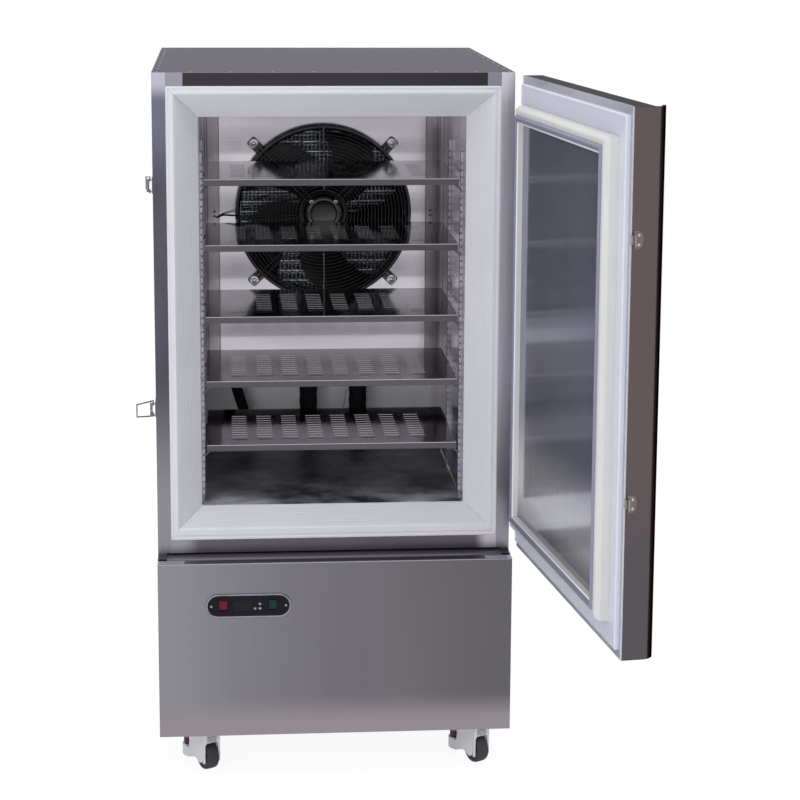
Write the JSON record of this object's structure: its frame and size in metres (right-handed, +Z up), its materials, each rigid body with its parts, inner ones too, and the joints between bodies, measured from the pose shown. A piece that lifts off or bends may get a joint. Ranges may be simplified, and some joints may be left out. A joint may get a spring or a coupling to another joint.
{
  "type": "blast freezer",
  "caption": "Upright stainless blast freezer on casters: insulated chamber with sliding slotted shelves and a rear fan, a full-height latched side door and a machine base.",
  "frame": {"origin": "middle of the base pan's flat underside, which the casters hold above the floor", "axes": "+Z up, +Y towards the back, +X to the right as seen from the front; the door is hinged on +X"},
  "size_m": [1.014, 1.7585, 1.602],
  "materials": {
    "stainless_side": "satin",
    "stainless_top": "satin",
    "stainless_liner": "satin",
    "stainless_front": "satin",
    "stainless_door": "satin",
    "door_panel_steel": "satin",
    "shelf_steel": "polished",
    "white_moulding": "satin",
    "door_frame_white": "satin",
    "door_plug_cream": "satin",
    "gasket_rubber": "matte",
    "foam": "matte",
    "black_enamel": "gloss",
    "black_plastic": "satin",
    "fin_aluminium": "satin",
    "fan_aluminium": "satin",
    "bright_wire": "polished",
    "bright_steel": "polished",
    "pipe_insulation": "matte",
    "chrome_trim": "polished",
    "gloss_black": "gloss",
    "red_plastic": "gloss",
    "green_plastic": "gloss",
    "key_plastic": "gloss",
    "zinc_plate": "satin",
    "caster_casting": "satin",
    "wheel_nylon": "matte",
    "dial_red": "gloss",
    "foot_rubber": "matte"
  },
  "bodies": {
    "cabinet": {"side_panels": "stainless_side", "top_panel": "stainless_top", "rear_panel": "stainless_top", "bottom_panel": "stainless_side", "breaker_frame": "white_moulding", "chamber_liner": "stainless_liner", "foam_core": "foam", "fan_plate": "stainless_liner", "fan_shroud": "black_enamel", "fan_guard": "black_enamel", "fan_motor": "black_enamel", "evaporator_coil": "fin_aluminium", "shelf_racks": "bright_wire", "insulated_pipes": "pipe_insulation", "base_pan": "stainless_liner", "base_side_panels": "stainless_side", "front_panel": "stainless_front", "neck_rail": "stainless_front", "rear_grille": "stainless_top", "compressor": "black_enamel", "condenser": "fin_aluminium", "control_bezel": "chrome_trim", "control_fascia": "gloss_black", "latch_bases": "bright_steel", "hinge_fixed_leaves": "bright_steel", "caster_plates": "zinc_plate"},
    "door": {"door_skin": "stainless_door", "door_foam": "foam", "door_frame": "door_frame_white", "door_plug": "door_plug_cream", "door_gasket": "gasket_rubber", "door_liner": "door_panel_steel", "door_keepers": "bright_steel", "hinge_door_leaves": "bright_steel"},
    "shelf_1": {"shelf_1": "shelf_steel"},
    "shelf_2": {"shelf_2": "shelf_steel"},
    "shelf_3": {"shelf_3": "shelf_steel"},
    "shelf_4": {"shelf_4": "shelf_steel"},
    "shelf_5": {"shelf_5": "shelf_steel"},
    "evaporator_fan": {"evaporator_fan": "black_plastic"},
    "condenser_fan": {"condenser_fan": "fan_aluminium"},
    "red_rocker": {"red_rocker": "red_plastic"},
    "green_rocker": {"green_rocker": "green_plastic"},
    "set_key": {"set_key": "key_plastic"},
    "up_key": {"up_key": "key_plastic"},
    "down_key": {"down_key": "key_plastic"},
    "upper_latch_lever": {"upper_latch_lever": "bright_steel"},
    "upper_latch_bail": {"upper_latch_bail": "bright_steel"},
    "lower_latch_lever": {"lower_latch_lever": "bright_steel"},
    "lower_latch_bail": {"lower_latch_bail": "bright_steel"},
    "left_caster_fork": {"left_caster_fork": "caster_casting"},
    "left_caster_wheel": {"left_caster_wheel": "wheel_nylon"},
    "left_caster_dial": {"left_caster_dial": "dial_red"},
    "left_caster_foot": {"left_caster_foot": "foot_rubber"},
    "right_caster_fork": {"right_caster_fork": "caster_casting"},
    "right_caster_wheel": {"right_caster_wheel": "wheel_nylon"},
    "right_caster_dial": {"right_caster_dial": "dial_red"},
    "right_caster_foot": {"right_caster_foot": "foot_rubber"},
    "rear_left_wheel": {"rear_left_wheel": "wheel_nylon"},
    "rear_right_wheel": {"rear_right_wheel": "wheel_nylon"}
  },
  "joints": [
    {"name": "door_hinge", "type": "hinge", "parent": "cabinet", "child": "door", "pos_m": [0.424, -0.45, 0.967], "axis": [0, 0, 1], "range_deg": [-97, 23]},
    {"name": "shelf_1_slide", "type": "slide", "parent": "cabinet", "child": "shelf_1", "axis": [0, -1, 0], "range_m": [0, 0.3]},
    {"name": "shelf_2_slide", "type": "slide", "parent": "cabinet", "child": "shelf_2", "axis": [0, -1, 0], "range_m": [0, 0.3]},
    {"name": "shelf_3_slide", "type": "slide", "parent": "cabinet", "child": "shelf_3", "axis": [0, -1, 0], "range_m": [0, 0.3]},
    {"name": "shelf_4_slide", "type": "slide", "parent": "cabinet", "child": "shelf_4", "axis": [0, -1, 0], "range_m": [0, 0.3]},
    {"name": "shelf_5_slide", "type": "slide", "parent": "cabinet", "child": "shelf_5", "axis": [0, -1, 0], "range_m": [0, 0.3]},
    {"name": "evaporator_fan_spin", "type": "hinge", "parent": "cabinet", "child": "evaporator_fan", "pos_m": [0, 0.137, 1.118], "axis": [0, 1, 0], "continuous": true},
    {"name": "condenser_fan_spin", "type": "hinge", "parent": "cabinet", "child": "condenser_fan", "pos_m": [0.15, 0.355, 0.1725], "axis": [0, 1, 0], "continuous": true},
    {"name": "red_rocker_tip", "type": "hinge", "parent": "cabinet", "child": "red_rocker", "pos_m": [-0.254, -0.478, 0.309], "axis": [1, 0, 0], "range_deg": [0, 12]},
    {"name": "green_rocker_tip", "type": "hinge", "parent": "cabinet", "child": "green_rocker", "pos_m": [-0.143, -0.478, 0.309], "axis": [1, 0, 0], "range_deg": [0, 12]},
    {"name": "set_key_press", "type": "slide", "parent": "cabinet", "child": "set_key", "axis": [0, 1, 0], "range_m": [0, 0.001], "stiffness_N_per_m": 400},
    {"name": "up_key_press", "type": "slide", "parent": "cabinet", "child": "up_key", "axis": [0, 1, 0], "range_m": [0, 0.001], "stiffness_N_per_m": 400},
    {"name": "down_key_press", "type": "slide", "parent": "cabinet", "child": "down_key", "axis": [0, 1, 0], "range_m": [0, 0.001], "stiffness_N_per_m": 400},
    {"name": "upper_lever_pivot", "type": "hinge", "parent": "cabinet", "child": "upper_latch_lever", "pos_m": [-0.409, -0.408, 1.251], "axis": [0, 0, -1], "range_deg": [-115, 0]},
    {"name": "upper_bail_pivot", "type": "hinge", "parent": "upper_latch_lever", "child": "upper_latch_bail", "pos_m": [-0.4065, -0.397, 1.251], "axis": [0, 0, 1], "range_deg": [0, 167]},
    {"name": "lower_lever_pivot", "type": "hinge", "parent": "cabinet", "child": "lower_latch_lever", "pos_m": [-0.409, -0.408, 0.746], "axis": [0, 0, -1], "range_deg": [-115, 0]},
    {"name": "lower_bail_pivot", "type": "hinge", "parent": "lower_latch_lever", "child": "lower_latch_bail", "pos_m": [-0.4065, -0.397, 0.746], "axis": [0, 0, 1], "range_deg": [-111, 56]},
    {"name": "left_caster_swivel", "type": "hinge", "parent": "cabinet", "child": "left_caster_fork", "pos_m": [-0.312, -0.385, -0.02], "axis": [0, 0, 1], "continuous": true},
    {"name": "left_wheel_spin", "type": "hinge", "parent": "left_caster_fork", "child": "left_caster_wheel", "pos_m": [-0.293, -0.41791, -0.0705], "axis": [0.866, 0.5, 0], "continuous": true},
    {"name": "left_dial_turn", "type": "hinge", "parent": "left_caster_fork", "child": "left_caster_dial", "pos_m": [-0.329, -0.35556, -0.047], "axis": [0, 0, 1], "range_deg": [0, 1080]},
    {"name": "left_foot_slide", "type": "slide", "parent": "left_caster_fork", "child": "left_caster_foot", "axis": [0, 0, -1], "range_m": [0, 0.0121]},
    {"name": "right_caster_swivel", "type": "hinge", "parent": "cabinet", "child": "right_caster_fork", "pos_m": [0.312, -0.385, -0.02], "axis": [0, 0, 1], "continuous": true},
    {"name": "right_wheel_spin", "type": "hinge", "parent": "right_caster_fork", "child": "right_caster_wheel", "pos_m": [0.331, -0.41791, -0.0705], "axis": [0.866, 0.5, 0], "continuous": true},
    {"name": "right_dial_turn", "type": "hinge", "parent": "right_caster_fork", "child": "right_caster_dial", "pos_m": [0.295, -0.35556, -0.047], "axis": [0, 0, 1], "range_deg": [0, 1080]},
    {"name": "right_foot_slide", "type": "slide", "parent": "right_caster_fork", "child": "right_caster_foot", "axis": [0, 0, -1], "range_m": [0, 0.0121]},
    {"name": "rear_left_wheel_spin", "type": "hinge", "parent": "cabinet", "child": "rear_left_wheel", "pos_m": [-0.312, 0.407, -0.0705], "axis": [1, 0, 0], "continuous": true},
    {"name": "rear_right_wheel_spin", "type": "hinge", "parent": "cabinet", "child": "rear_right_wheel", "pos_m": [0.312, 0.407, -0.0705], "axis": [1, 0, 0], "continuous": true}
  ],
  "couplings": [
    {"joint": "left_foot_slide", "follows": "left_dial_turn", "m_per_rad": 0.00063662},
    {"joint": "right_foot_slide", "follows": "right_dial_turn", "m_per_rad": 0.00063662}
  ]
}
